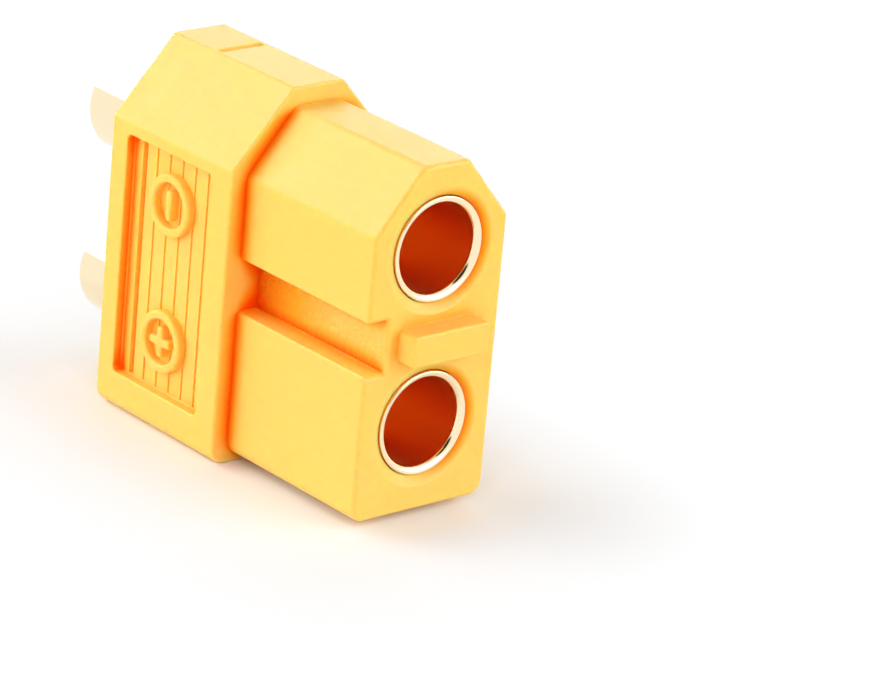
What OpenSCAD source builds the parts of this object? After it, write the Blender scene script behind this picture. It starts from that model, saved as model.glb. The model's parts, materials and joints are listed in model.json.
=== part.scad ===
// Two-pole battery lead connector, socket half: a moulded housing that holds two turned contacts.
// Millimetres. +X points out of the mating face, +Y across the thickness, +Z up.
// The connector stands on its flat narrow side. Its origin is at the middle of its box, on the ground.

/* [Housing, rear block] */
// Thickness of the rear block, along Y
body_w = 8.1; // [7.6:0.1:10]
// Height of the rear block, along Z
body_h = 15.5; // [15.2:0.1:18]
// Length of the rear block, along X
rear_l = 7.8; // [7:0.1:12]
// Height that the two top bevels take off the rear block
body_bevel_h = 3.1; // [2:0.1:3.4]
// Width of the flat between the two bevels
body_top_w = 2.5; // [2:0.1:4]
// Radius of the rear block's two lower corners
body_corner_r = 0.75; // [0.2:0.05:1.2]

/* [Housing, front section] */
// Length of the front section that enters the mating half
front_l = 8.0; // [7:0.1:12]
// Step from the rear block down to the front section on both sides
side_step = 0.75; // [0.3:0.05:0.8]
// Step from the rear block down to the front section at the top
top_step = 0.75; // [0.3:0.05:0.8]
// Step from the rear block up to the front section at the bottom
bottom_step = 0.4; // [0.2:0.05:0.8]
// Height that the two top bevels take off the front section
front_bevel_h = 2.6; // [1.6:0.1:2.9]
// Width of the flat between the front section's bevels
front_top_w = 2.2; // [1.6:0.1:3.6]
// Radius of the front section's two lower corners
front_corner_r = 0.6; // [0.2:0.05:1]
// Radius that softens every other long edge
edge_r = 0.15; // [0.05:0.05:0.3]

/* [Key and slot] */
// How far the key bar stands out of the mating face
key_l = 1.0; // [0.5:0.1:2]
// Width of the key bar, along Y
key_w = 3.8; // [2:0.1:5]
// How far the key bar's middle lies from the connector's, towards the plain side
key_offset = 0.13; // [-0.3:0.01:0.3]
// Height of the key bar, along Z
key_h = 1.3; // [0.8:0.1:1.6]
// Height of the guide slot in the front section's side
slot_h = 2.2; // [1:0.1:2.6]
// Depth of the guide slot
slot_depth = 1.0; // [0.5:0.05:1.2]

/* [Grip panels] */
// Depth of the panel below the rear block's side
panel_depth = 0.45; // [0.2:0.05:0.5]
// Plain rim behind the panel
panel_rear_rim = 1.0; // [0.6:0.05:1.4]
// Plain rim in front of the panel
panel_front_rim = 1.25; // [0.6:0.05:1.6]
// Plain rim below the panel
panel_lower_rim = 1.7; // [1:0.1:3]
// Plain rim between the panel and the bevel above it
panel_upper_rim = 0.5; // [0.3:0.05:2]
// Radius of the panel's corners
panel_corner_r = 0.25; // [0.1:0.05:0.5]
// Distance from one fine line to the next
line_pitch = 0.83; // [0.6:0.01:1.2]
// Width of a fine line
line_w = 0.14; // [0.08:0.01:0.3]
// Width of the wider line beside the rear edge
rear_line_w = 0.26; // [0.1:0.02:0.4]
// Depth of the lines below the panel
line_depth = 0.18; // [0.05:0.01:0.25]

/* [Polarity marks] */
// Outer diameter of the raised rings on the panel
ring_d = 2.6; // [1.8:0.1:3.4]
// Width of the raised rings and their signs
mark_stroke = 0.36; // [0.2:0.02:0.5]
// How far the raised rings stand above the panel
mark_rise = 0.35; // [0.1:0.05:0.5]
// Length of the strokes inside the rings
ring_sign_l = 1.3; // [0.8:0.1:1.6]
// Distance between the centres of the two rings
ring_spacing = 5.8; // [4:0.1:7]
// Length of the engraved signs on the narrow sides
engraved_l = 2.2; // [1.2:0.1:2.4]
// Depth of the engraved signs
engraved_depth = 0.2; // [0.1:0.05:0.3]
// Distance of the engraved signs behind the step
engraved_setback = 5.0; // [2.5:0.1:5.5]

/* [Contacts] */
// Distance between the centres of the two contacts
contact_pitch = 7.2; // [6.6:0.1:7.5]
// Height of the point midway between the contacts
contact_mid_z = 7.6; // [7.4:0.1:8.2]
// Outer diameter of the contact's front tube and of its solder cup
tube_d = 4.3; // [4.1:0.05:4.5]
// Bore that takes the mating pin
pin_bore_d = 3.65; // [3:0.05:3.7]
// Depth of that bore
pin_bore_depth = 9.0; // [7:0.1:10]
// Bevel at the mouth of that bore
mouth_bevel = 0.25; // [0.05:0.05:0.28]
// How far the contact's end lies behind the mating face
contact_recess = 0.1; // [0:0.05:0.5]
// Diameter of the collar that seats in the housing
collar_d = 5.0; // [4.8:0.05:5.4]
// Length of the collar
collar_l = 1.6; // [1:0.1:2]
// How far behind the step the collar seats
seat_setback = 1.6; // [1:0.1:2]
// Length of the neck between the collar and the barb
neck_l = 0.7; // [0.4:0.1:1]
// Length of the barb that bites into the housing
barb_l = 1.0; // [0.5:0.1:1.2]
// How far the solder cup reaches behind the housing
cup_reach = 4.1; // [3:0.1:7]
// Bore of the solder cup
cup_bore_d = 3.4; // [2.6:0.1:3.8]
// Depth of the solder cup's bore
cup_bore_depth = 5.5; // [4:0.1:6]
// Length of the stretch of the cup that is cut open on top
cup_open_l = 3.5; // [2:0.1:3.8]
// Height of that cut above the contact's axis
cup_cut_z = 0.85; // [0:0.05:1.4]

/* [Fits] */
// Radial clearance between a contact and the housing
contact_clearance = 0.02; // [0.01:0.01:0.06]
// Width of the bevel in the housing around each contact's mouth
rim_bevel = 0.45; // [0.2:0.05:0.6]
// Depth of that bevel
rim_bevel_depth = 0.2; // [0.1:0.05:0.4]

/* [Hidden] */
$fn = 96;
arc_steps = 6;
drill_point_slope = tan(31);
over = 1;
front_w = body_w - 2 * side_step;
front_h = body_h - top_step - bottom_step;
negative_z = contact_mid_z + contact_pitch / 2;
positive_z = contact_mid_z - contact_pitch / 2;
contact_front_x = front_l - contact_recess;
cup_end_x = -rear_l - cup_reach;
barb_end_x = -seat_setback - collar_l - neck_l - barb_l;
panel_l = rear_l - panel_rear_rim - panel_front_rim;
panel_h = body_h - body_bevel_h - panel_lower_rim - panel_upper_rim;
line_count = floor(panel_l / line_pitch);
mid_x = (cup_end_x + front_l + key_l) / 2;

// Unit vector from p to q, and the corner points that an arc of radius r leaves between a, b and c.
function toward(p, q) = (q - p) / norm(q - p);
function corner_arc(a, b, c, r) =
    let (u = toward(b, a), v = toward(b, c), half = acos(u * v) / 2)
    let (centre = b + toward([0, 0], u + v) * r / sin(half))
    let (first = b + u * r / tan(half) - centre, last = b + v * r / tan(half) - centre)
    let (from = atan2(first.y, first.x), turn = (atan2(last.y, last.x) - from + 540) % 360 - 180)
    [for (i = [0:arc_steps]) centre + r * [cos(from + turn * i / arc_steps), sin(from + turn * i / arc_steps)]];

// An outline whose corners are rounded, each by its own radius.
module rounded_outline(corners, radii) {
    n = len(corners);
    polygon([for (i = [0:n - 1])
        each corner_arc(corners[(i + n - 1) % n], corners[i], corners[(i + 1) % n], radii[i])]);
}

// The connector's section: a rectangle with two bevels that lead up to a narrow flat.
module bevelled_section(w, h, bevel_h, top_w, corner_r) {
    rounded_outline(
        [[-w / 2, 0], [w / 2, 0], [w / 2, h - bevel_h], [top_w / 2, h], [-top_w / 2, h], [-w / 2, h - bevel_h]],
        [corner_r, corner_r, edge_r, edge_r, edge_r, edge_r]);
}

// Draws a section in Y and Z, and runs it along X.
module along_x(from, length) {
    translate([from, 0, 0]) rotate([90, 0, 90]) linear_extrude(length) children();
}

// A cylinder or cone on the X axis.
module rod(from, to, d, d_end = 0) {
    translate([from, 0, 0]) rotate([0, 90, 0]) cylinder(h = to - from, d1 = d, d2 = d_end > 0 ? d_end : d);
}

// The panel sunk into one side: a recess with fine lines cut into its floor.
module grip_panel_cut() {
    floor_y = -body_w / 2 + panel_depth;
    translate([-rear_l + panel_rear_rim, floor_y, panel_lower_rim]) {
        rotate([90, 0, 0]) linear_extrude(panel_depth + over) rounded_outline(
            [[0, 0], [panel_l, 0], [panel_l, panel_h], [0, panel_h]],
            [for (i = [0:3]) panel_corner_r]);
        for (i = [0:line_count - 1]) {
            w = i == 0 ? rear_line_w : line_w;
            from_middle = (i - (line_count - 1) / 2) * line_pitch;
            translate([panel_l / 2 + from_middle - w / 2, -panel_depth, 0])
                cube([w, panel_depth + line_depth, panel_h]);
        }
    }
}

// A minus sign, or a plus sign, drawn flat with its long stroke along Y.
module sign_shape(length, stroke, plus) {
    square([stroke, length], center = true);
    if (plus) square([length, stroke], center = true);
}

// A ring with a sign inside, raised from the panel, this far above the panel's middle.
module ring_mark(above_middle, plus) {
    translate([-panel_front_rim - panel_l / 2, -body_w / 2 + panel_depth + line_depth,
            panel_lower_rim + panel_h / 2 + above_middle])
        rotate([90, 0, 0]) linear_extrude(line_depth + mark_rise) {
            difference() {
                circle(d = ring_d);
                circle(d = ring_d - 2 * mark_stroke);
            }
            sign_shape(ring_sign_l, mark_stroke, plus);
        }
}

// The stepped passage that a contact is pushed into from behind.
module contact_passage(z) {
    translate([0, 0, z]) {
        rod(-rear_l - over, -seat_setback, collar_d + 2 * contact_clearance);
        rod(-seat_setback - over, front_l + over, tube_d + 2 * contact_clearance);
        rod(front_l - rim_bevel_depth, front_l, tube_d, tube_d + 2 * rim_bevel);
    }
}

module housing() {
    color("gold") translate([-mid_x, 0, 0]) {
        difference() {
            union() {
                along_x(-rear_l, rear_l)
                    bevelled_section(body_w, body_h, body_bevel_h, body_top_w, body_corner_r);
                translate([0, 0, bottom_step]) along_x(-over, front_l + over)
                    bevelled_section(front_w, front_h, front_bevel_h, front_top_w, front_corner_r);
                translate([front_l - over, key_offset - key_w / 2, contact_mid_z - key_h / 2])
                    cube([key_l + over, key_w, key_h]);
            }
            contact_passage(negative_z);
            contact_passage(positive_z);
            translate([0, -front_w / 2 - over, contact_mid_z - slot_h / 2])
                cube([front_l + over, slot_depth + over, slot_h]);
            grip_panel_cut();
            mirror([0, 1, 0]) grip_panel_cut();
            translate([-engraved_setback, 0, body_h - engraved_depth]) linear_extrude(over)
                sign_shape(engraved_l, mark_stroke, false);
            translate([-engraved_setback, 0, -over]) linear_extrude(engraved_depth + over)
                sign_shape(engraved_l, mark_stroke, true);
        }
        ring_mark(ring_spacing / 2, false);
        ring_mark(-ring_spacing / 2, true);
    }
}

// One contact, turned from a bar: socket tube, collar, barb and solder cup.
module contact(z) {
    color("khaki") translate([-mid_x, 0, z]) difference() {
        union() {
            rod(cup_end_x, contact_front_x, tube_d);
            rod(-seat_setback - collar_l, -seat_setback, collar_d);
            rod(barb_end_x, barb_end_x + barb_l, collar_d, tube_d);
        }
        rod(contact_front_x - pin_bore_depth, contact_front_x + over, pin_bore_d);
        rod(contact_front_x - mouth_bevel, contact_front_x, pin_bore_d, pin_bore_d + 2 * mouth_bevel);
        rod(contact_front_x - pin_bore_depth - pin_bore_d / 2 * drill_point_slope,
            contact_front_x - pin_bore_depth, 0, pin_bore_d);
        rod(cup_end_x - over, cup_end_x + cup_bore_depth, cup_bore_d);
        translate([cup_end_x - over, -collar_d, cup_cut_z])
            cube([cup_open_l + over, 2 * collar_d, collar_d]);
    }
}

module negative_contact() { contact(negative_z); }
module positive_contact() { contact(positive_z); }

housing();
negative_contact();
positive_contact();
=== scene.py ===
# %% [markdown]
# # A battery lead connector, socket half
#
# The real object is small, about 21 mm long: one nylon moulding holds two turned, gold-plated
# contacts. This script dresses the fixed CAD frame. It builds a housing with softened edges and two
# finely turned contacts in the places that the frame gives, and then lights them.
# X runs from the solder cups to the mating face, Y across the connector, and Z is up. Sizes are
# written in millimetres, and a mesh is scaled to metres only when it becomes an object.

# %% Load the frame
import bmesh
import bpy
import json
import math
from mathutils import Matrix, Vector


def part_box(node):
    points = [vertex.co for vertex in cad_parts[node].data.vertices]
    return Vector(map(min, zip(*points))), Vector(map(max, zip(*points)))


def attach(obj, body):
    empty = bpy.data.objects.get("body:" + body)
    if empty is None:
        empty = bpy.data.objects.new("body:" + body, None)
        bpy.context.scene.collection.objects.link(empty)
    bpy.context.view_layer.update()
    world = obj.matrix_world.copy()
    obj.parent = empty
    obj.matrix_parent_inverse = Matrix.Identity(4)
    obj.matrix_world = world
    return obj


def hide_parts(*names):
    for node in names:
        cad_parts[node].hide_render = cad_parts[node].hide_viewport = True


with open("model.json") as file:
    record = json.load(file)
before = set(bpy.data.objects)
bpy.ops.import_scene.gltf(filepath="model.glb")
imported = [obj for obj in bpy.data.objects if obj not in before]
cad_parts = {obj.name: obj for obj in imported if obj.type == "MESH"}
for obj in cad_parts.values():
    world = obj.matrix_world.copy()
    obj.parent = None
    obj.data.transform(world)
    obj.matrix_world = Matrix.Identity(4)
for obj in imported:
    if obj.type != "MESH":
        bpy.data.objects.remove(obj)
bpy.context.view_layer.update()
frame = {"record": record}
MM = 0.001

def to_mm(corner):
    return [value / MM for value in corner]

HOUSING_LOW, HOUSING_HIGH = [to_mm(corner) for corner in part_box("housing")]
CONTACT_LOW, CONTACT_HIGH = [to_mm(corner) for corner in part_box("negative_contact")]
MOUNTS = {mount["name"]: mount for mount in frame["record"]["mounts"]}
print("housing from", HOUSING_LOW, "to", HOUSING_HIGH)

# %% [markdown]
# ## Sizes
#
# The frame gives the outer box and the places of the contacts, and reading them from it keeps the
# dressed pieces on the CAD solids. A box doesn't hold a bevel or a slot, so the moulding's own sizes
# are named, each once: those that several steps share here, and the rest where they are used.

# %% Sizes that the frame gives
REAR_X = HOUSING_LOW[0]
KEY_TIP_X = HOUSING_HIGH[0]
BODY_W = HOUSING_HIGH[1] - HOUSING_LOW[1]
BODY_H = HOUSING_HIGH[2]
FACE_X = MOUNTS["mating_face"]["pos_m"][0] / MM
AXIS_Z = {name: MOUNTS[name + "_socket"]["pos_m"][2] / MM for name in ("negative", "positive")}
MID_Z = (AXIS_Z["negative"] + AXIS_Z["positive"]) / 2
BORE_R = MOUNTS["negative_socket"]["dims"]["r_mm"]
CUP_BORE_R = MOUNTS["negative_solder_cup"]["dims"]["r_mm"]
CUP_BORE_DEPTH = MOUNTS["negative_solder_cup"]["dims"]["length_mm"]
CUP_END_X = CONTACT_LOW[0]
MOUTH_X = CONTACT_HIGH[0]
COLLAR_R = (CONTACT_HIGH[1] - CONTACT_LOW[1]) / 2
print("mating face at", FACE_X, "contact mouth at", MOUTH_X, "contact axes at", AXIS_Z)

# %% Sizes of the moulding
FRONT_L = 8.0
STEP_X = FACE_X - FRONT_L
SIDE_STEP = 0.75
TOP_STEP = 0.75
BOTTOM_STEP = 0.4
BODY_BEVEL_H = 3.1
BODY_TOP_W = 2.5
FRONT_BEVEL_H = 2.6
FRONT_TOP_W = 2.2
FRONT_W = BODY_W - 2 * SIDE_STEP
SLOT_H = 2.2
SLOT_DEPTH = 1.0
SLOT_LOW, SLOT_HIGH = MID_Z - SLOT_H / 2, MID_Z + SLOT_H / 2
print("front section:", FRONT_L, "mm long and", round(FRONT_W, 3), "mm wide")

# %% [markdown]
# ## Outlines that can shrink and grow
#
# A moulded edge is never sharp, because the mould's own edges are rounded by the cutter. A Bevel
# modifier could round them all alike, but here each edge has its own radius, so an outline is a list
# of corners that each carry one. Drawn with an inset, an outline keeps its arc centres. A row of
# outlines whose inset follows a quarter circle is then an even rounded edge, and an inset below zero
# is the fillet where one wall stands on another. All rings have the same number of points, so plain
# quads join them.

# %% Draw an outline
ARC_STEPS = 6
SMALLEST_R = 0.005

def corner_arc(a, b, c, radius):
    """Centre, first angle and turn of the arc that rounds the corner at b."""
    back, ahead = (a - b).normalized(), (c - b).normalized()
    half = math.acos(max(-1, min(1, back.dot(ahead)))) / 2
    centre = b + (back + ahead).normalized() * radius / math.sin(half)
    first = b + back * radius / math.tan(half) - centre
    last = b + ahead * radius / math.tan(half) - centre
    start = math.atan2(first.y, first.x)
    turn = (math.atan2(last.y, last.x) - start + math.pi) % math.tau - math.pi
    return centre, start, turn

def outline(corners, inset=0.0):
    """Points of a closed outline, anticlockwise; a corner is (u, v, radius)."""
    points = []
    for i, (bu, bv, radius) in enumerate(corners):
        b = Vector((bu, bv))
        a = Vector(corners[i - 1][:2])
        c = Vector(corners[(i + 1) % len(corners)][:2])
        convex = (b - a).x * (c - b).y - (b - a).y * (c - b).x > 0
        shrink = inset if convex else -inset
        reach = max(radius, shrink + SMALLEST_R)
        centre, start, turn = corner_arc(a, b, c, reach)
        for step in range(ARC_STEPS + 1):
            angle = start + turn * step / ARC_STEPS
            points.append(centre + (reach - shrink) * Vector((math.cos(angle), math.sin(angle))))
    return points

print("each corner is drawn with", ARC_STEPS + 1, "points")

# %% Round an edge over, or spread it in a fillet
EDGE_STEPS = 5

def quarter_turn():
    """Sine and cosine in even steps from 0 to 90 degrees."""
    angles = [math.pi / 2 * step / EDGE_STEPS for step in range(EDGE_STEPS + 1)]
    return [(math.sin(angle), math.cos(angle)) for angle in angles]

def round_over(at, radius, direction):
    """(place, inset) pairs of a rounded edge that ends flush at a place, coming from one side."""
    return [(at - direction * radius * (1 - sine), radius * (1 - cosine))
            for sine, cosine in quarter_turn()]

def fillet_out(at, radius, direction):
    """(place, inset) pairs of a fillet that spreads onto a face, going up from that face."""
    return [(at + direction * radius * (1 - cosine), radius * (sine - 1))
            for sine, cosine in quarter_turn()]

print("each rounded edge has", EDGE_STEPS, "steps")

# %% Join rings into a mesh
MERGE_MM = 1e-6

def loft(bm, rings, close_start=True, close_end=True):
    """Joins rings of equal length with quads, and closes the ends."""
    loops = [[bm.verts.new(point) for point in ring] for ring in rings]
    for low, high in zip(loops, loops[1:]):
        for i in range(len(low)):
            j = (i + 1) % len(low)
            bm.faces.new((low[i], low[j], high[j], high[i]))
    if close_start:
        bm.faces.new(reversed(loops[0]))
    if close_end:
        bm.faces.new(loops[-1])
    return loops

def new_piece(name, bm, material=None):
    """Turns millimetre mesh data into an object whose place is in its mesh, with faces outwards."""
    bmesh.ops.remove_doubles(bm, verts=bm.verts, dist=MERGE_MM)
    bmesh.ops.recalc_face_normals(bm, faces=bm.faces)
    bmesh.ops.scale(bm, vec=(MM, MM, MM), verts=bm.verts)
    mesh = bpy.data.meshes.new(name)
    bm.to_mesh(mesh)
    bm.free()
    piece = bpy.data.objects.new(name, mesh)
    bpy.context.collection.objects.link(piece)
    if material:
        mesh.materials.append(material)
    print(name + ":", len(mesh.polygons), "faces")
    return piece

# %% [markdown]
# ## The housing's two blocks
#
# In the mould the housing is one cavity: a rear block that the fingers hold, and a narrower front
# section that slides into the other half. Both have the same six-cornered section, whose two bevels
# let it mate one way round only. Two cubes with Bevel modifiers could stand for them, but a loft of
# outlines along X gives every edge its own rounding. The guide slot runs the whole length of the
# front section, so it needs no cut: it is simply part of that outline.

# %% Sections in Y and Z
BODY_CORNER_R = 0.75
BODY_EDGE_R = 0.28
FRONT_CORNER_R = 0.6
FRONT_EDGE_R = 0.42
SLOT_CORNER_R = 0.03
SLOT_LIP_R = 0.1

def bevelled_corners(width, bottom, top, bevel_h, top_w, corner_r, edge_r):
    """The section that both blocks share; it ends with the corner above the guide slot."""
    half = width / 2
    return [(-half, bottom, corner_r), (half, bottom, corner_r), (half, top - bevel_h, edge_r),
            (top_w / 2, top, edge_r), (-top_w / 2, top, edge_r), (-half, top - bevel_h, edge_r)]

SLOT_CORNERS = [(-FRONT_W / 2, SLOT_HIGH, SLOT_LIP_R),
                (-FRONT_W / 2 + SLOT_DEPTH, SLOT_HIGH, SLOT_CORNER_R),
                (-FRONT_W / 2 + SLOT_DEPTH, SLOT_LOW, SLOT_CORNER_R),
                (-FRONT_W / 2, SLOT_LOW, SLOT_LIP_R)]
REAR_SECTION = bevelled_corners(BODY_W, 0, BODY_H, BODY_BEVEL_H, BODY_TOP_W, BODY_CORNER_R,
                                BODY_EDGE_R)
FRONT_SECTION = bevelled_corners(FRONT_W, BOTTOM_STEP, BODY_H - TOP_STEP, FRONT_BEVEL_H,
                                 FRONT_TOP_W, FRONT_CORNER_R, FRONT_EDGE_R) + SLOT_CORNERS
print("corners:", len(REAR_SECTION), "on the rear block,", len(FRONT_SECTION), "on the front section")

# %% Build the two blocks as one closed skin
END_EDGE_R = 0.11
FACE_EDGE_R = 0.2

def rings_on_x(corners, places):
    """One ring for each (x, inset) pair."""
    return [[(x, u, v) for u, v in outline(corners, inset)] for x, inset in places]

def housing_blocks():
    bm = bmesh.new()
    rear = round_over(REAR_X, END_EDGE_R, -1)[::-1] + round_over(STEP_X, END_EDGE_R, 1)
    front = [(STEP_X, 0.0)] + round_over(FACE_X, FACE_EDGE_R, 1)
    rear_loops = loft(bm, rings_on_x(REAR_SECTION, rear), close_end=False)
    front_loops = loft(bm, rings_on_x(FRONT_SECTION, front), close_start=False)
    step_edges = []
    for loop in (rear_loops[-1], front_loops[0]):
        step_edges += [bm.edges.get((loop[i - 1], loop[i])) for i in range(len(loop))]
    bmesh.ops.triangle_fill(bm, use_beauty=True, use_dissolve=False, edges=step_edges)
    return new_piece("housing_shell", bm)

housing = housing_blocks()

# %% [markdown]
# ## The key bar
#
# A bar stands out of the mating face between the sockets and keys the two halves. It could be drawn
# out of the face itself, but a bar of its own that is joined on afterwards keeps its mesh simple. It
# is lofted as the blocks are: it starts a little inside the face, spreads onto it in a small fillet,
# and ends in a rounded front.

# %% Build the key bar
KEY_W = 3.8
KEY_OFFSET = 0.13
KEY_H = 1.3
KEY_CORNER_R = 0.16
KEY_ROOT = 0.3
INNER_FILLET = 0.04

def rectangle_corners(centre_u, centre_v, width, height, radius):
    return [(centre_u + su * width / 2, centre_v + sv * height / 2, radius)
            for su, sv in ((-1, -1), (1, -1), (1, 1), (-1, 1))]

def key_bar():
    bm = bmesh.new()
    corners = rectangle_corners(KEY_OFFSET, MID_Z, KEY_W, KEY_H, KEY_CORNER_R)
    places = [(FACE_X - KEY_ROOT, -INNER_FILLET)] + fillet_out(FACE_X, INNER_FILLET, 1)
    places += round_over(KEY_TIP_X, END_EDGE_R, 1)
    loft(bm, rings_on_x(corners, places))
    return new_piece("key_bar", bm)

key = key_bar()

# %% [markdown]
# ## The passages
#
# Each contact is pushed into a stepped passage from behind until its collar seats. Passages, panels
# and signs are all cut with Boolean tools. A plain tool would leave a sharp rim, so each tool flares
# out where it meets the surface, and the cut comes out with a soft rim. The passage tool is turned
# on the contact's axis and ends in the shallow funnel that frames the contact's mouth.

# %% Build the passage tools
TURN_STEPS = 128
OVERRUN = 0.5
CLEARANCE = 0.035
TUBE_R = 2.15
SEAT_SETBACK = 1.6
SEAT_X = STEP_X - SEAT_SETBACK
FUNNEL_W = 0.45
FUNNEL_DEPTH = 0.2
FUNNEL_FOOT = 0.02
FUNNEL_RIM = ((-0.025, -0.05), (-0.006, 0.0), (0.0, 0.04))

def turned_ring(x, radius, axis_z):
    """A circle round a contact's axis."""
    angles = [math.tau * i / TURN_STEPS for i in range(TURN_STEPS)]
    return [(x, radius * math.cos(angle), axis_z + radius * math.sin(angle)) for angle in angles]

def passage_tools():
    bm = bmesh.new()
    wide, narrow = COLLAR_R + CLEARANCE, TUBE_R + CLEARANCE
    funnel_x, funnel_r = FACE_X - FUNNEL_DEPTH, TUBE_R + FUNNEL_W
    profile = [(REAR_X - OVERRUN, wide + END_EDGE_R)]
    profile += [(x, wide - inset) for x, inset in fillet_out(REAR_X, END_EDGE_R, 1)]
    profile += [(SEAT_X, wide), (SEAT_X, narrow)]
    profile += [(funnel_x - FUNNEL_FOOT, narrow), (funnel_x, narrow + FUNNEL_FOOT)]
    profile += [(FACE_X + ahead, funnel_r + outwards) for ahead, outwards in FUNNEL_RIM]
    profile += [(FACE_X + OVERRUN, profile[-1][1])]
    for axis_z in AXIS_Z.values():
        loft(bm, [turned_ring(x, radius, axis_z) for x, radius in profile])
    return new_piece("passage_tools", bm)

passages = passage_tools()

# %% [markdown]
# ## Grip panels and engraved signs
#
# On both wide sides a sunk panel gives the fingers hold, and a short sign is engraved on each narrow
# side: a minus on the bevelled side and a plus below. A sunk shape could be an inset face pushed in,
# but the tool below also rounds its rim and its floor. It takes any outline, so panels and signs
# share it. A plus sign is an outline with twelve corners, made from a quarter that is turned.

# %% A tool for any sunk shape
PANEL_DEPTH = 0.45
PANEL_REAR_RIM = 1.0
PANEL_FRONT_RIM = 1.25
PANEL_LOWER_RIM = 1.7
PANEL_UPPER_RIM = 0.5
PANEL_CORNER_R = 0.25
PANEL_EDGE_R = 0.07
PANEL_LOW_X, PANEL_HIGH_X = REAR_X + PANEL_REAR_RIM, STEP_X - PANEL_FRONT_RIM
PANEL_LOW_Z, PANEL_HIGH_Z = PANEL_LOWER_RIM, BODY_H - BODY_BEVEL_H - PANEL_UPPER_RIM
PANEL_L, PANEL_H = PANEL_HIGH_X - PANEL_LOW_X, PANEL_HIGH_Z - PANEL_LOW_Z
PANEL_MID_X, PANEL_MID_Z = (PANEL_LOW_X + PANEL_HIGH_X) / 2, (PANEL_LOW_Z + PANEL_HIGH_Z) / 2

def sunk_tool(bm, corners, depth, edge_r, floor_r, place):
    """A flared tool: place(u, v, height) puts a point, with height above the surface."""
    heights = round_over(-depth, floor_r, -1)[::-1] + fillet_out(0, edge_r, -1)[::-1]
    heights += [(OVERRUN, -edge_r)]
    loft(bm, [[place(u, v, height) for u, v in outline(corners, inset)]
              for height, inset in heights])

print("panel:", round(PANEL_L, 3), "x", round(PANEL_H, 3), "mm")

# %% Build the panel tools and the sign tools
STROKE = 0.36
STROKE_END_R = STROKE * 0.42
SIGN_L = 2.2
SIGN_DEPTH = 0.2
SIGN_EDGE_R = 0.05
MINUS_FLOOR_R = 0.1
PLUS_CORNER_R = 0.12
SIGN_SETBACK = 5.0
SIGN_X = STEP_X - SIGN_SETBACK

def panel_and_minus_tools():
    bm = bmesh.new()
    panel = rectangle_corners(PANEL_MID_X, PANEL_MID_Z, PANEL_L, PANEL_H, PANEL_CORNER_R)
    for side in (-1, 1):
        sunk_tool(bm, panel, PANEL_DEPTH, PANEL_EDGE_R, PANEL_EDGE_R,
                  lambda u, v, height: (u, side * (BODY_W / 2 + height), v))
    minus = rectangle_corners(SIGN_X, 0, STROKE, SIGN_L, STROKE_END_R)
    sunk_tool(bm, minus, SIGN_DEPTH, SIGN_EDGE_R, MINUS_FLOOR_R,
              lambda u, v, height: (u, v, BODY_H + height))
    return new_piece("panel_and_minus_tools", bm)

def plus_corners(centre_u, centre_v, length, stroke, radius):
    arm, half = length / 2, stroke / 2
    quarter = [(half, -arm), (half, -half), (arm, -half)]
    corners = []
    for turn in range(4):
        cosine, sine = round(math.cos(turn * math.pi / 2)), round(math.sin(turn * math.pi / 2))
        corners += [(centre_u + u * cosine - v * sine, centre_v + u * sine + v * cosine, radius)
                    for u, v in quarter]
    return corners

def plus_tool():
    bm = bmesh.new()
    corners = plus_corners(SIGN_X, 0, SIGN_L, STROKE, PLUS_CORNER_R)
    sunk_tool(bm, corners, SIGN_DEPTH, SIGN_EDGE_R, SIGN_EDGE_R,
              lambda u, v, height: (u, v, -height))
    return new_piece("plus_tool", bm)

recesses, plus = panel_and_minus_tools(), plus_tool()

# %% [markdown]
# ## Raised polarity marks
#
# A small ring with a sign inside it stands on the panel's floor beside each contact. Engravers cut
# such marks into the mould, so they come out with rounded tops. Text from a font could be raised
# instead, but these signs are plain bars, and their outlines round over just as the housing does.

# %% Build the ring marks
RING_R = 1.3
RING_SIGN_L = 1.3
RING_SPACING = 5.8
MARK_RISE = 0.35
MARK_ROOT = 0.08
MARK_ROUND_R = 0.12
MARK_FLOOR_Y = -BODY_W / 2 + PANEL_DEPTH
MARK_STEPS = 64

def mark_ring(y, radius, centre_z):
    angles = [math.tau * i / MARK_STEPS for i in range(MARK_STEPS)]
    return [(PANEL_MID_X + radius * math.cos(angle), y, centre_z + radius * math.sin(angle))
            for angle in angles]

def ring_marks():
    bm = bmesh.new()
    sides = [(MARK_FLOOR_Y + MARK_ROOT, 0.0)] + round_over(MARK_FLOOR_Y - MARK_RISE, MARK_ROUND_R, -1)
    for up, is_plus in ((RING_SPACING / 2, False), (-RING_SPACING / 2, True)):
        centre_z = PANEL_MID_Z + up
        wall = [(y, RING_R - inset) for y, inset in sides]
        wall += [(y, RING_R - STROKE + inset) for y, inset in reversed(sides)]
        rings = [mark_ring(y, radius, centre_z) for y, radius in wall]
        loft(bm, rings + rings[:1], close_start=False, close_end=False)
        if is_plus:
            corners = plus_corners(PANEL_MID_X, centre_z, RING_SIGN_L, STROKE,
                                   MARK_ROUND_R + SMALLEST_R)
        else:
            corners = rectangle_corners(PANEL_MID_X, centre_z, STROKE, RING_SIGN_L, STROKE_END_R)
        loft(bm, [[(u, y, v) for u, v in outline(corners, inset)] for y, inset in sides])
    return new_piece("ring_marks", bm)

marks = ring_marks()
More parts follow.
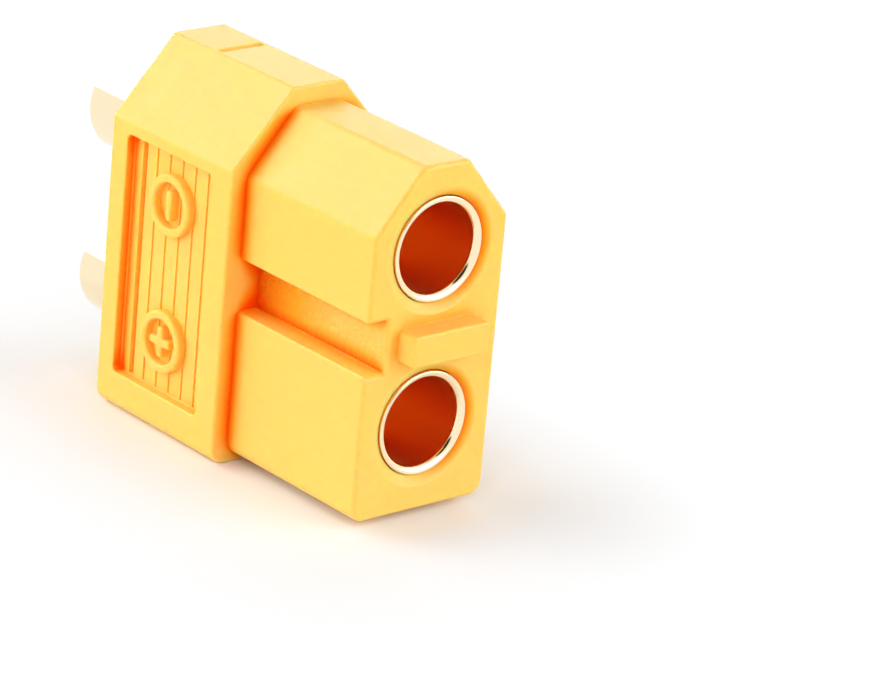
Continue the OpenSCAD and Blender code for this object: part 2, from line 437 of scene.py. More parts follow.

# %% [markdown]
# ## Amber nylon
#
# The housing is moulded in nylon that is coloured right through. It is a little translucent, so
# light that bounces into its corners comes out deep orange. Subsurface scattering softens the light,
# but alone it leaves the corners too pale, so shade is painted into the colour in three places: in
# the creases of the shape, in a ring beside each gold contact, and at the closed end of the guide
# slot. There the colour is painted a deeper orange, where the real nylon is lit less. A painted map
# could do that too, but these follow the shape, so they still fit if a size changes. Each is a
# number from 0 to 1, worked out by small nodes on Object coordinates. Creases that stand in full
# light get less painted shade, and the ring is painted on one side of a contact only. That much
# belongs to the light of this scene and not to the nylon.

# %% Shader helpers
def new_material(name):
    material = bpy.data.materials.new(name)
    material.use_nodes = True
    nodes = material.node_tree.nodes
    return material, nodes, material.node_tree.links.new, nodes["Principled BSDF"]

def remap(nodes, link, source, low, high, to_low, to_high):
    """Turns low...high into to_low...to_high, and holds the end values outside them."""
    ramp = nodes.new("ShaderNodeMapRange")
    for socket, value in (("From Min", low), ("From Max", high),
                          ("To Min", to_low), ("To Max", to_high)):
        ramp.inputs[socket].default_value = value
    link(source, ramp.inputs["Value"])
    return ramp.outputs["Result"]

def math_node(nodes, link, operation, first, second):
    node = nodes.new("ShaderNodeMath")
    node.operation = operation
    for socket, value in zip(node.inputs, (first, second)):
        if isinstance(value, float):
            socket.default_value = value
        else:
            link(value, socket)
    return node.outputs[0]

def product(nodes, link, first, *others):
    for other in others:
        first = math_node(nodes, link, "MULTIPLY", first, other)
    return first

def vector_node(nodes, link, operation, vector, constant=None):
    """Vector maths; a distance, length or dot product comes out as a plain number."""
    node = nodes.new("ShaderNodeVectorMath")
    node.operation = operation
    link(vector, node.inputs[0])
    if constant is not None:
        node.inputs[1].default_value = constant
    is_number = operation in ("DISTANCE", "LENGTH", "DOT_PRODUCT")
    return node.outputs["Value" if is_number else "Vector"]

print("shader helpers are ready")

# %% Helpers that know where on the object they are
def object_axes(nodes, link, kind="Object"):
    """X, Y and Z of the object's coordinates, or of its normal."""
    place = nodes.new("ShaderNodeTexCoord")
    split = nodes.new("ShaderNodeSeparateXYZ")
    link(place.outputs[kind], split.inputs[0])
    return split.outputs

def along(nodes, link, axis, low, high, to_low, to_high):
    """The same as remap, between two places in millimetres."""
    return remap(nodes, link, axis, low * MM, high * MM, to_low, to_high)

def within(nodes, link, axis, low, high, soft):
    """1 between two places in millimetres, falling to 0 over a soft border."""
    middle, reach = (low + high) / 2, (high - low) / 2
    offset = math_node(nodes, link, "SUBTRACT", axis, middle * MM)
    away = math_node(nodes, link, "ABSOLUTE", offset, 0.0)
    return along(nodes, link, away, reach - soft / 2, reach + soft / 2, 1.0, 0.0)

def object_noise(nodes, link, scale, detail=2.0, squeeze=(1, 1, 1)):
    """Noise on object coordinates; scale times squeeze counts per metre on each axis."""
    place = nodes.new("ShaderNodeTexCoord")
    mapping = nodes.new("ShaderNodeMapping")
    mapping.inputs["Scale"].default_value = squeeze
    link(place.outputs["Object"], mapping.inputs["Vector"])
    noise = nodes.new("ShaderNodeTexNoise")
    noise.inputs["Scale"].default_value = scale
    noise.inputs["Detail"].default_value = detail
    link(mapping.outputs["Vector"], noise.inputs["Vector"])
    return noise.outputs["Fac"]

def add_bump(nodes, link, shader, height, strength, distance):
    bump = nodes.new("ShaderNodeBump")
    bump.inputs["Strength"].default_value = strength
    bump.inputs["Distance"].default_value = distance
    link(height, bump.inputs["Height"])
    link(bump.outputs["Normal"], shader.inputs["Normal"])

print("places are read in millimetres from object coordinates")

# %% Painted shade in the creases of the shape
CREASE_REACH = 1.1
CREASE_SHUT, CREASE_OPEN = 0.53, 0.86
SHADE_ON_PANEL = 0.2
SHADE_AT_FACE = 0.35
SHADE_ON_TOPS = 0.5
PANEL_FADE = 0.2
FACE_FADE = 0.25
UPWARD_FROM, UPWARD_TO = 0.8, 0.95
TOP_FADE_LOW, TOP_FADE_HIGH = BODY_H - 1.1, BODY_H - 0.6

def painted_crease_shade(nodes, link, where):
    """Painted shade: 1 deep in a crease, 0 on open walls, and less where a crease is in full light.
    """
    crease = nodes.new("ShaderNodeAmbientOcclusion")
    crease.samples, crease.only_local = 8, True
    crease.inputs["Distance"].default_value = CREASE_REACH * MM
    depth = remap(nodes, link, crease.outputs["AO"], CREASE_SHUT, CREASE_OPEN, 1.0, 0.0)
    rear = along(nodes, link, where["X"], PANEL_LOW_X + PANEL_FADE, PANEL_LOW_X + 2 * PANEL_FADE,
                 1.0, SHADE_ON_PANEL)
    front = along(nodes, link, where["X"], PANEL_HIGH_X - PANEL_FADE, PANEL_HIGH_X,
                  SHADE_ON_PANEL, 1.0)
    off_panel = math_node(nodes, link, "MAXIMUM", rear, front)
    at_face = along(nodes, link, where["X"], FACE_X - FACE_FADE, FACE_X, 1.0, SHADE_AT_FACE)
    # Faces that look upward, and the top of the step, get less painted shade, because the lamps light
    # them from above.
    facing = object_axes(nodes, link, "Normal")
    upward = remap(nodes, link, facing["Z"], UPWARD_FROM, UPWARD_TO, 1.0, SHADE_ON_TOPS)
    below_top = along(nodes, link, where["Z"], TOP_FADE_LOW, TOP_FADE_HIGH, 1.0, 0.0)
    return product(nodes, link, depth, off_panel, at_face, upward, below_top)

print("creases are felt over", CREASE_REACH, "mm")

# %% Painted shade beside each contact, and the floor of the guide slot
# Painted shade in a ring round each contact, on the side away from the light.
CONTACT_SHADE_REACH = 0.42
CONTACT_SHADE = 0.95
CONTACT_SHADE_LOW_Y, CONTACT_SHADE_HIGH_Y = -0.8, 1.6
CONTACT_SHADE_LOW_X, CONTACT_SHADE_HIGH_X = FACE_X - 0.5, FACE_X - 0.3
SLOT_FLOOR_Y = -BODY_W / 2 + SIDE_STEP + SLOT_DEPTH
# Painted shadow on the slot's floor, deepest at its closed end, where the step and the slot's wall
# keep the light off.
SLOT_SHADE = 0.8
SLOT_SHADE_L = 5.0
BAND = 0.08
SOFT = 0.2

def painted_contact_shade(nodes, link, where):
    """Painted shade and painted light from the gold, in the nylon on each passage's +Y side."""
    section = nodes.new("ShaderNodeCombineXYZ")
    link(where["Y"], section.inputs["Y"])
    link(where["Z"], section.inputs["Z"])
    rings = []
    for axis_z in AXIS_Z.values():
        from_axis = vector_node(nodes, link, "DISTANCE", section.outputs[0], (0, 0, axis_z * MM))
        rings.append(along(nodes, link, from_axis, TUBE_R, TUBE_R + CONTACT_SHADE_REACH, CONTACT_SHADE, 0.0))
    ring = math_node(nodes, link, "MAXIMUM", *rings)
    far_side = along(nodes, link, where["Y"], CONTACT_SHADE_LOW_Y, CONTACT_SHADE_HIGH_Y, 0.0, 1.0)
    at_face = along(nodes, link, where["X"], CONTACT_SHADE_LOW_X, CONTACT_SHADE_HIGH_X, 0.0, 1.0)
    return product(nodes, link, ring, far_side, at_face)

def slot_floor(nodes, link, where):
    """1 on the floor of the guide slot, 0 elsewhere."""
    on_floor = within(nodes, link, where["Y"], SLOT_FLOOR_Y - BAND, SLOT_FLOOR_Y + BAND, BAND)
    in_height = within(nodes, link, where["Z"], SLOT_LOW - SOFT, SLOT_HIGH + SOFT, SOFT)
    in_length = within(nodes, link, where["X"], STEP_X - SOFT / 2, FACE_X - SOFT, SOFT)
    return product(nodes, link, on_floor, in_height, in_length)

print("slot floor at y =", round(SLOT_FLOOR_Y, 3), "mm")

# %% [markdown]
# The slot's floor looks spark-eroded and the walls nearly smooth, so the bump is coarse there and
# faint on the walls. It could be modelled, but that would take millions of faces.
# Little light reaches a crease to be reflected, so the specular level falls as the painted shade
# deepens.

# %% Build the nylon
AMBER = (0.98, 0.575, 0.112, 1)
# Colours of the painted shade: half-shaded and fully shaded nylon.
PAINTED_HALF_SHADE_AMBER = (0.985, 0.40, 0.015, 1)
PAINTED_SHADE_ORANGE = (1.0, 0.10, 0.0, 1)
HALF_SHADE_AT = 0.4
NYLON_IOR = 1.53
SCATTER_RADIUS = (1.0, 0.18, 0.05)
SCATTER_REACH = 0.8
OPEN_SPECULAR, CREASE_SPECULAR = 0.5, 0.05
SMOOTHEST, ROUGHEST = 0.42, 0.50
CLOUDS_PER_METRE, GRAINS_PER_METRE = 900, 5000
GRAIN_ON_WALLS, GRAIN_ON_SLOT = 0.4, 9.0
GRAIN_H, GRAIN_STRENGTH = 0.02, 0.8

def nylon():
    material, nodes, link, shader = new_material("amber_nylon")
    shader.inputs["IOR"].default_value = NYLON_IOR
    shader.inputs["Subsurface Weight"].default_value = 1.0
    shader.inputs["Subsurface Radius"].default_value = SCATTER_RADIUS
    shader.inputs["Subsurface Scale"].default_value = SCATTER_REACH * MM
    where = object_axes(nodes, link)
    on_slot = slot_floor(nodes, link, where)
    # The painted shade of creases, contacts and the slot's end, whichever is deepest.
    painted_shade = math_node(nodes, link, "MAXIMUM", painted_crease_shade(nodes, link, where),
                     painted_contact_shade(nodes, link, where))
    # Painted shadow on the slot's floor, deepest at the step and fading towards the face.
    slot_end_shade = along(nodes, link, where["X"], STEP_X, STEP_X + SLOT_SHADE_L, SLOT_SHADE, 0.0)
    painted_shade = math_node(nodes, link, "MAXIMUM", painted_shade, product(nodes, link, slot_end_shade, on_slot))
    # The ramp paints the shade: plain amber on open walls, deeper orange where painted shade lies.
    ramp = nodes.new("ShaderNodeValToRGB")
    link(painted_shade, ramp.inputs["Fac"])
    steps = ramp.color_ramp.elements
    steps[0].color, steps[1].color = AMBER, PAINTED_SHADE_ORANGE
    steps.new(HALF_SHADE_AT).color = PAINTED_HALF_SHADE_AMBER
    link(ramp.outputs["Color"], shader.inputs["Base Color"])
    specular = remap(nodes, link, painted_shade, 0.0, 1.0, OPEN_SPECULAR, CREASE_SPECULAR)
    link(specular, shader.inputs["Specular IOR Level"])
    clouds = object_noise(nodes, link, CLOUDS_PER_METRE)
    link(remap(nodes, link, clouds, 0.3, 0.7, SMOOTHEST, ROUGHEST), shader.inputs["Roughness"])
    amount = remap(nodes, link, on_slot, 0.0, 1.0, GRAIN_ON_WALLS, GRAIN_ON_SLOT)
    grain = product(nodes, link, object_noise(nodes, link, GRAINS_PER_METRE, 3), amount)
    add_bump(nodes, link, shader, grain, GRAIN_STRENGTH, GRAIN_H * MM)
    return material

NYLON = nylon()
print(NYLON.name + ":", len(NYLON.node_tree.nodes), "nodes")

# %% [markdown]
# ## Lines in the panels
#
# Fine lines run up each panel's floor so that fingers don't slip. They follow one rule: equal
# spacing, and a wider and deeper line at the rear. They could be an Array modifier, but that can't
# treat one copy apart, so a Geometry Nodes tree places one small box per line and scales the first.
# The rule is then in its named inputs. The boxes become Boolean tools, as the other cuts have.

# %% Start a node tree, and evaluate one
def node_tree(name, inputs):
    """An empty Geometry Nodes tree with named inputs; returns it and its two end nodes."""
    tree = bpy.data.node_groups.new(name, "GeometryNodeTree")
    for socket_name, kind, value in inputs:
        socket = tree.interface.new_socket(socket_name, in_out="INPUT", socket_type=kind)
        if value is not None:
            socket.default_value = value
    tree.interface.new_socket("Geometry", in_out="OUTPUT", socket_type="NodeSocketGeometry")
    return tree, tree.nodes.new("NodeGroupInput"), tree.nodes.new("NodeGroupOutput")

def grown(name, tree, values):
    """Evaluates a tree once and keeps its result as plain mesh data."""
    holder = bpy.data.objects.new(name, bpy.data.meshes.new(name + "_seed"))
    bpy.context.collection.objects.link(holder)
    modifier = holder.modifiers.new("grow", "NODES")
    modifier.node_group = tree
    for item in tree.interface.items_tree:
        if item.in_out == "INPUT" and item.name in values:
            modifier[item.identifier] = values[item.name]
    evaluated = holder.evaluated_get(bpy.context.evaluated_depsgraph_get())
    mesh = bpy.data.meshes.new_from_object(evaluated)
    bpy.data.objects.remove(holder)
    print(name + ":", len(mesh.polygons), "faces")
    return mesh

# %% A node tree for the panel's lines
def only_first(nodes, link, is_first, factor):
    """The factor for the first line, and 1 for the others."""
    choose = nodes.new("GeometryNodeSwitch")
    choose.input_type = "FLOAT"
    link(is_first, choose.inputs["Switch"])
    choose.inputs["False"].default_value = 1.0
    link(factor, choose.inputs["True"])
    return choose.outputs[0]

def line_tree():
    length = "NodeSocketFloat"
    tree, inputs, result = node_tree("panel_lines", [
        ("Count", "NodeSocketInt", 6), ("Pitch", length, 1.0), ("Line width", length, 0.1),
        ("Rear line width", length, 0.2), ("Depth", length, 0.1),
        ("Rear line deepening", length, 1.0), ("Height", length, 1.0),
        ("Material", "NodeSocketMaterial", None)])
    nodes, link = tree.nodes, tree.links.new
    offset = nodes.new("ShaderNodeCombineXYZ")
    link(inputs.outputs["Pitch"], offset.inputs["X"])
    row = nodes.new("GeometryNodeMeshLine")
    link(inputs.outputs["Count"], row.inputs["Count"])
    link(offset.outputs[0], row.inputs["Offset"])
    size = nodes.new("ShaderNodeCombineXYZ")
    link(inputs.outputs["Line width"], size.inputs["X"])
    link(inputs.outputs["Depth"], size.inputs["Y"])
    link(inputs.outputs["Height"], size.inputs["Z"])
    box = nodes.new("GeometryNodeMeshCube")
    link(size.outputs[0], box.inputs["Size"])
    is_first = nodes.new("FunctionNodeCompare")
    is_first.data_type, is_first.operation = "INT", "EQUAL"
    link(nodes.new("GeometryNodeInputIndex").outputs[0], is_first.inputs["A"])
    ratio = math_node(nodes, link, "DIVIDE", inputs.outputs["Rear line width"],
                      inputs.outputs["Line width"])
    deepening = inputs.outputs["Rear line deepening"]
    scale = nodes.new("ShaderNodeCombineXYZ")
    link(only_first(nodes, link, is_first.outputs[0], ratio), scale.inputs["X"])
    link(only_first(nodes, link, is_first.outputs[0], deepening), scale.inputs["Y"])
    scale.inputs["Z"].default_value = 1.0
    place = nodes.new("GeometryNodeInstanceOnPoints")
    link(row.outputs["Mesh"], place.inputs["Points"])
    link(box.outputs["Mesh"], place.inputs["Instance"])
    link(scale.outputs[0], place.inputs["Scale"])
    solid = nodes.new("GeometryNodeRealizeInstances")
    link(place.outputs[0], solid.inputs[0])
    finish = nodes.new("GeometryNodeSetMaterial")
    link(solid.outputs[0], finish.inputs["Geometry"])
    link(inputs.outputs["Material"], finish.inputs["Material"])
    link(finish.outputs[0], result.inputs[0])
    return tree

LINE_TREE = line_tree()
print(LINE_TREE.name + ":", len(LINE_TREE.nodes), "nodes")

# %% Place the lines in both panels
LINE_PITCH = 0.83
LINE_W = 0.14
REAR_LINE_W = 0.32
LINE_DEPTH = 0.06
REAR_LINE_DEPTH = 0.2
LINE_END_GAP = 0.05
LINE_COUNT = int(PANEL_L / LINE_PITCH)
LINE_TOOL_RISE = 0.3
LINE_TOOL_DEPTH = LINE_DEPTH + LINE_TOOL_RISE

def line_tools(material):
    deepening = 1 + 2 * (REAR_LINE_DEPTH - LINE_DEPTH) / LINE_TOOL_DEPTH
    mesh = grown("lines", LINE_TREE, {
        "Count": LINE_COUNT, "Pitch": LINE_PITCH, "Line width": LINE_W,
        "Rear line width": REAR_LINE_W, "Depth": LINE_TOOL_DEPTH, "Rear line deepening": deepening,
        "Height": PANEL_H - 2 * LINE_END_GAP, "Material": material})
    bm = bmesh.new()
    for side in (-1, 1):
        copy = bmesh.new()
        copy.from_mesh(mesh)
        first_x = PANEL_MID_X - (LINE_COUNT - 1) / 2 * LINE_PITCH
        middle_y = side * (BODY_W / 2 - PANEL_DEPTH - LINE_DEPTH + LINE_TOOL_DEPTH / 2)
        bmesh.ops.translate(copy, vec=(first_x, middle_y, PANEL_MID_Z), verts=copy.verts)
        part = bpy.data.meshes.new("part")
        copy.to_mesh(part)
        copy.free()
        bm.from_mesh(part)
        bpy.data.meshes.remove(part)
    return new_piece("line_tools", bm)

lines = line_tools(NYLON)

# %% [markdown]
# ## Cutting and joining
#
# The housing comes out of the mould in one piece, so everything made so far becomes one closed skin.
# The parts could simply be left to overlap, but hidden faces would spoil the mesh. Each tool is a
# closed mesh, so Boolean modifiers cut and join exactly, and each is applied at once.

# %% Apply the tools to the housing
def apply_modifiers(piece):
    bpy.context.view_layer.update()
    evaluated = piece.evaluated_get(bpy.context.evaluated_depsgraph_get())
    mesh = bpy.data.meshes.new_from_object(evaluated)
    piece.modifiers.clear()
    piece.data = mesh

def combine(piece, tool, operation):
    modifier = piece.modifiers.new("combine", "BOOLEAN")
    modifier.operation, modifier.object, modifier.solver = operation, tool, "MANIFOLD"
    apply_modifiers(piece)
    bpy.data.objects.remove(tool)
    print(operation.lower(), "->", len(piece.data.polygons), "faces")

def open_edges(piece):
    bm = bmesh.new()
    bm.from_mesh(piece.data)
    count = sum(not edge.is_manifold for edge in bm.edges)
    bm.free()
    return count

combine(housing, key, "UNION")
for tool in (passages, recesses, plus, lines):
    combine(housing, tool, "DIFFERENCE")
combine(housing, marks, "UNION")
print("open edges in the housing:", open_edges(housing))

# %% [markdown]
# Flat walls should shade flat and the rounded edges smooth. More faces would help, but marking the
# edges is lighter: those sharper than a few steps of a curve stay hard, and the normals are weighted
# by area so that a big wall keeps its own direction.

# %% Clean up and shade
MERGE_M = 1e-8

def shade(piece, sharp_angle, material):
    bm = bmesh.new()
    bm.from_mesh(piece.data)
    bmesh.ops.remove_doubles(bm, verts=bm.verts, dist=MERGE_M)
    bmesh.ops.dissolve_degenerate(bm, edges=bm.edges, dist=MERGE_M)
    bm.to_mesh(piece.data)
    bm.free()
    piece.data.materials.clear()
    piece.data.materials.append(material)
    piece.data.shade_smooth()
    piece.data.set_sharp_from_angle(angle=sharp_angle)
    weighted = piece.modifiers.new("weighted", "WEIGHTED_NORMAL")
    weighted.keep_sharp, weighted.weight = True, 100
    apply_modifiers(piece)
    print(piece.name + ":", len(piece.data.polygons), "faces, open edges:", open_edges(piece))

shade(housing, math.radians(32), NYLON)

# %% [markdown]
# ## The contacts
#
# Each contact is turned from a brass bar: a socket tube in front, a collar that seats in the
# housing, a barb that bites into it, and a cup behind for the soldered lead. A Screw modifier could
# revolve the profile, but building the rings directly closes both ends on the axis. The rims have
# small radii, because the parts are tumbled before they are plated, and the socket's mouth has a
# larger rounded lip that leads the pin in.

# %% The turned profile
PIN_BORE_DEPTH = 9.0
LIP_R = 0.28
LIP_EDGE_R = 0.05
COLLAR_L = 1.6
NECK_L = 0.7
BARB_L = 1.0
RIM_R = 0.05
BORE_FLOOR_R = 0.1
CUP_FLOOR_R = 0.3
DRILL_SLOPE = math.tan(math.radians(31))
PROFILE_STEPS = 6

def rounded_profile(corners):
    """Rounds the inner corners of an open (x, radius) path; such a corner is (x, radius, size)."""
    path = [corners[0]]
    for before, (x, r, size), after in zip(corners, corners[1:], corners[2:]):
        centre, start, turn = corner_arc(Vector(before[:2]), Vector((x, r)), Vector(after[:2]), size)
        angles = [start + turn * step / PROFILE_STEPS for step in range(PROFILE_STEPS + 1)]
        path += [tuple(centre + size * Vector((math.cos(angle), math.sin(angle))))
                 for angle in angles]
    return path + [corners[-1]]

def contact_profile():
    bottom = MOUTH_X - PIN_BORE_DEPTH
    collar_rear = SEAT_X - COLLAR_L
    barb_front = collar_rear - NECK_L
    barb_rear = barb_front - BARB_L
    cup_floor = CUP_END_X + CUP_BORE_DEPTH
    return rounded_profile([
        (bottom - BORE_R * DRILL_SLOPE, 0), (bottom, BORE_R, BORE_FLOOR_R),
        (MOUTH_X, BORE_R, LIP_R), (MOUTH_X, TUBE_R, LIP_EDGE_R), (SEAT_X, TUBE_R, RIM_R),
        (SEAT_X, COLLAR_R, RIM_R), (collar_rear, COLLAR_R, RIM_R), (collar_rear, TUBE_R, RIM_R),
        (barb_front, TUBE_R, RIM_R), (barb_rear, COLLAR_R, RIM_R), (barb_rear, TUBE_R, RIM_R),
        (CUP_END_X, TUBE_R, RIM_R), (CUP_END_X, CUP_BORE_R, RIM_R),
        (cup_floor, CUP_BORE_R, CUP_FLOOR_R), (cup_floor, 0)])

print("contact profile:", len(contact_profile()), "points")

# %% [markdown]
# The solder cup is milled open on one side, so that the lead can be laid in. Faces of the tube could
# be deleted instead, but the wall would then have no thickness at the cut. The cutter leaves a
# rounded inner corner, so the Boolean tool has one too.

# %% Build the contacts and cut their cups open
CUP_OPEN_L = 3.5
CUP_CUT_Z = 0.85
CUT_ROUND_R = 0.6
CUT_STEPS = 8
CUT_REACH = 3.0

def turned_solid(name, profile, axis_z):
    """Revolves a path that starts and ends on the axis."""
    bm = bmesh.new()
    ends = [bm.verts.new((profile[0][0], 0, axis_z)), bm.verts.new((profile[-1][0], 0, axis_z))]
    rings = [turned_ring(x, radius, axis_z) for x, radius in profile[1:-1]]
    loops = loft(bm, rings, close_start=False, close_end=False)
    for end, loop in zip(ends, (loops[0], loops[-1])):
        for i in range(TURN_STEPS):
            bm.faces.new((end, loop[i - 1], loop[i]))
    return new_piece(name, bm)

def cup_opening(axis_z):
    bm = bmesh.new()
    rear, front = CUP_END_X - OVERRUN, CUP_END_X + CUP_OPEN_L
    path = [(rear, CUP_CUT_Z)]
    for step in range(CUT_STEPS + 1):
        angle = math.pi / 2 * step / CUT_STEPS
        path.append((front - CUT_ROUND_R + CUT_ROUND_R * math.sin(angle),
                     CUP_CUT_Z + CUT_ROUND_R - CUT_ROUND_R * math.cos(angle)))
    path += [(front, CUT_REACH), (rear, CUT_REACH)]
    loft(bm, [[(x, side, axis_z + z) for x, z in path] for side in (-CUT_REACH, CUT_REACH)])
    return new_piece("cup_opening", bm)

contacts = {}
for side, axis_z in AXIS_Z.items():
    contact = turned_solid(side + "_contact_turned", contact_profile(), axis_z)
    combine(contact, cup_opening(axis_z), "DIFFERENCE")
    contacts[side] = contact

# %% [markdown]
# ## Gold plating
#
# Gold lies over nickel on the turned brass: bright on the rims and the cup, with very fine marks
# round the axis from the tool. Down a narrow bore light is thrown from wall to wall, and gold looks
# redder and duller there. The bounces alone show that too weakly, so shade is painted into the bore:
# its gold is a deeper, redder colour, and it is also rougher. Two materials would meet in a hard
# line, so one blends the two along X.

# %% Build the gold
RIM_GOLD = (1.0, 0.85, 0.58, 1)
# The bore's deeper, redder gold is painted shade.
BORE_SHADED_GOLD = (1.0, 0.54, 0.18, 1)
BORE_FADE = (0.20, 0.32)
RIM_ROUGHNESS, BORE_ROUGHNESS, SPOTS = 0.12, 0.33, 0.015
SPOTS_PER_METRE = 1500
MARKS_PER_METRE = (14000, 120, 120)
MARK_H, MARK_STRENGTH = 0.002, 0.10

def gold():
    material, nodes, link, shader = new_material("gold_plating")
    shader.inputs["Metallic"].default_value = 1.0
    x = object_axes(nodes, link)["X"]
    behind_lip = along(nodes, link, x, MOUTH_X - BORE_FADE[0], MOUTH_X - BORE_FADE[1], 0.0, 1.0)
    in_housing = along(nodes, link, x, REAR_X, REAR_X - 0.01, 1.0, 0.0)
    in_bore = product(nodes, link, behind_lip, in_housing)
    spots = remap(nodes, link, object_noise(nodes, link, SPOTS_PER_METRE), 0.3, 0.7, -SPOTS, SPOTS)
    dull = remap(nodes, link, in_bore, 0.0, 1.0, RIM_ROUGHNESS, BORE_ROUGHNESS)
    link(math_node(nodes, link, "ADD", dull, spots), shader.inputs["Roughness"])
    # Blends in the bore's painted shade along X.
    painted_shade = nodes.new("ShaderNodeMix")
    painted_shade.data_type = "RGBA"
    link(in_bore, painted_shade.inputs["Factor"])
    painted_shade.inputs["A"].default_value, painted_shade.inputs["B"].default_value = RIM_GOLD, BORE_SHADED_GOLD
    link(painted_shade.outputs["Result"], shader.inputs["Base Color"])
    marks = object_noise(nodes, link, 1.0, squeeze=MARKS_PER_METRE)
    add_bump(nodes, link, shader, marks, MARK_STRENGTH, MARK_H * MM)
    return material

GOLD = gold()
for contact in contacts.values():
    shade(contact, math.radians(35), GOLD)

# %% [markdown]
# ## Put the pieces on the frame
#
# Each finished piece stands for one CAD node, so nothing of the plain CAD surface shows. The
# connector has no moving parts, so all three ride on its one body.

# %% Attach the pieces
housing.name = "housing_skin"
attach(housing, "root")
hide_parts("housing")
for side, contact in contacts.items():
    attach(contact, "root")
    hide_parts(side + "_contact")
print("pieces:", housing.name, [contact.name for contact in contacts.values()])

# %% [markdown]
# ## Floor, light and camera
#
# The floor is plain and pale. Near the object it is a real surface that takes a shadow, and further
# away it turns into pure white for the eye alone, so that no horizon shows and no extra light falls
# on the object. A backdrop curve could do that too, but it would show from behind.

# %% Build the floor
FLOOR_HALF = 900.0
FLOOR_GREY = 0.88
HALF_FOOTPRINT = (10, 4)
WHITE_FROM = 0.5
WHITE_BEYOND = 8.0

def seen_directly(nodes, link):
    """1 for rays from the eye, in mirrors and through glass; 0 for light that falls on things."""
    rays = nodes.new("ShaderNodeLightPath")
    seen = rays.outputs["Is Camera Ray"]
    for kind in ("Is Glossy Ray", "Is Transmission Ray"):
        seen = math_node(nodes, link, "MAXIMUM", seen, rays.outputs[kind])
    return seen

def floor_material():
    material, nodes, link, shader = new_material("pale_floor")
    shader.inputs["Base Color"].default_value = (FLOOR_GREY, FLOOR_GREY, FLOOR_GREY, 1)
    shader.inputs["Roughness"].default_value = 0.9
    shader.inputs["Specular IOR Level"].default_value = 0.1
    place = nodes.new("ShaderNodeTexCoord")
    beyond = vector_node(nodes, link, "ABSOLUTE", place.outputs["Object"])
    footprint = [half * MM for half in HALF_FOOTPRINT] + [0]
    beyond = vector_node(nodes, link, "SUBTRACT", beyond, footprint)
    beyond = vector_node(nodes, link, "MAXIMUM", beyond, (0, 0, 0))
    away = along(nodes, link, vector_node(nodes, link, "LENGTH", beyond),
                 WHITE_FROM, WHITE_BEYOND, 0.0, 1.0)
    blend = nodes.new("ShaderNodeMixShader")
    link(product(nodes, link, away, seen_directly(nodes, link)), blend.inputs[0])
    link(shader.outputs[0], blend.inputs[1])
    link(nodes.new("ShaderNodeEmission").outputs[0], blend.inputs[2])
    link(blend.outputs[0], nodes["Material Output"].inputs["Surface"])
    return material

def floor():
    bm = bmesh.new()
    bm.faces.new([bm.verts.new((x * FLOOR_HALF, y * FLOOR_HALF, 0))
                  for x, y in ((-1, -1), (1, -1), (1, 1), (-1, 1))])
    piece = new_piece("floor", bm, floor_material())

floor()

# %% [markdown]
# The sky is white for the eye and dim as a light, because five soft lamps do the lighting. It has
# one soft dark patch above the front: bright metal needs something dark to mirror, and the patch
# draws the dark streak on the rims. The left and front lamps are hidden from mirror-like
# reflections, so that they neither fill that streak nor put glare on the long edges.

# %% Set the sky
SKY_FOR_EYE = 1.0
SKY_ON_OBJECT = 0.18
PATCH_ANGLE = math.radians(28)
PATCH_DIRECTION = Vector((0.36, -0.52, 0.77))
PATCH_CORE = 0.8
PATCH_LEVEL = 0.03

def sky():
    world = bpy.data.worlds.new("sky")
    bpy.context.scene.world = world
    world.use_nodes = True
    nodes, link = world.node_tree.nodes, world.node_tree.links.new
    level = remap(nodes, link, seen_directly(nodes, link), 0, 1, SKY_ON_OBJECT, SKY_FOR_EYE)
    direction = nodes.new("ShaderNodeTexCoord").outputs["Generated"]
    toward = vector_node(nodes, link, "DOT_PRODUCT", direction, PATCH_DIRECTION.normalized())
    patch = remap(nodes, link, toward, math.cos(PATCH_ANGLE), math.cos(PATCH_ANGLE * PATCH_CORE),
                  1.0, PATCH_LEVEL)
    link(product(nodes, link, level, patch), nodes["Background"].inputs["Strength"])
    nodes["Background"].inputs["Color"].default_value = (1, 1, 1, 1)
    print(world.name + ": level", SKY_ON_OBJECT, "on the object")

sky()

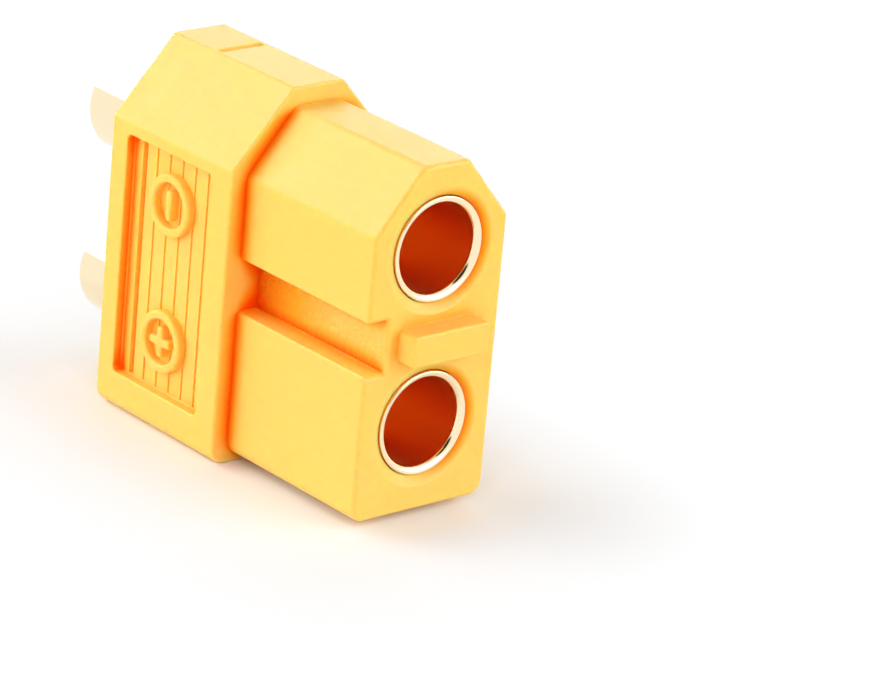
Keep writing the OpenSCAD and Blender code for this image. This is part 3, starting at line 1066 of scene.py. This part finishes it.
# %% Set the lamps
LAMP_AIM = Vector((0, 0, 8)) * MM
LAMPS = (("rear", (-0.26, -0.16, 0.22), (0.30, 0.25), 0.73),
         ("back", (-0.22, 0.24, 0.18), (0.30, 0.25), 0.42),
         ("left", (-0.22, -0.27, 0.08), (0.36, 0.14), 0.75),
         ("right", (0.28, 0.20, 0.16), (0.36, 0.28), 1.0),
         ("front", (0.24, -0.20, 0.20), (0.30, 0.28), 0.75))
NOT_IN_MIRRORS = ("left", "front")

def soft_lamp(name, place, size, watts):
    """An area lamp that faces the object; its place and size are in metres."""
    data = bpy.data.lights.new(name, "AREA")
    data.shape, data.energy = "RECTANGLE", watts
    data.size, data.size_y = size
    lamp = bpy.data.objects.new(name, data)
    lamp.location = place
    lamp.rotation_euler = (LAMP_AIM - Vector(place)).to_track_quat("-Z", "Y").to_euler()
    lamp.visible_glossy = name not in NOT_IN_MIRRORS
    bpy.context.collection.objects.link(lamp)

for lamp in LAMPS:
    soft_lamp(*lamp)
bpy.context.scene.cycles.max_bounces = 16
bpy.context.scene.cycles.glossy_bounces = 12
bpy.context.scene.view_settings.view_transform = "Standard"
print("lamps:", len(LAMPS), "with", sum(watts for *_, watts in LAMPS), "W in all")

# %% [markdown]
# The camera stands well back and has a long lens, which keeps parallel edges nearly parallel. It
# could be aimed with a Track To constraint, but its roll is easier to give in the matrix itself.

# %% Set the camera
CAMERA_PLACE = Vector((135.79, -112.99, 72.59)) * MM
CAMERA_AIM = Vector((5.24, 4.17, 4.86)) * MM
CAMERA_ROLL = math.radians(-5.33)
CAMERA_LENS = 192.76

def camera():
    data = bpy.data.cameras.new("camera")
    data.lens, data.sensor_width = CAMERA_LENS, 36.0
    eye = bpy.data.objects.new("camera", data)
    forward = (CAMERA_AIM - CAMERA_PLACE).normalized()
    right = forward.cross(Vector((0, 0, 1))).normalized()
    up = right.cross(forward)
    rolled_up = (up * math.cos(CAMERA_ROLL) + right * math.sin(CAMERA_ROLL)).normalized()
    rolled_right = forward.cross(rolled_up)
    turned = Matrix((rolled_right, rolled_up, -forward)).transposed().to_4x4()
    eye.matrix_world = Matrix.Translation(CAMERA_PLACE) @ turned
    bpy.context.collection.objects.link(eye)
    bpy.context.scene.camera = eye
    print("camera:", round((CAMERA_AIM - CAMERA_PLACE).length / MM), "mm away")

camera()
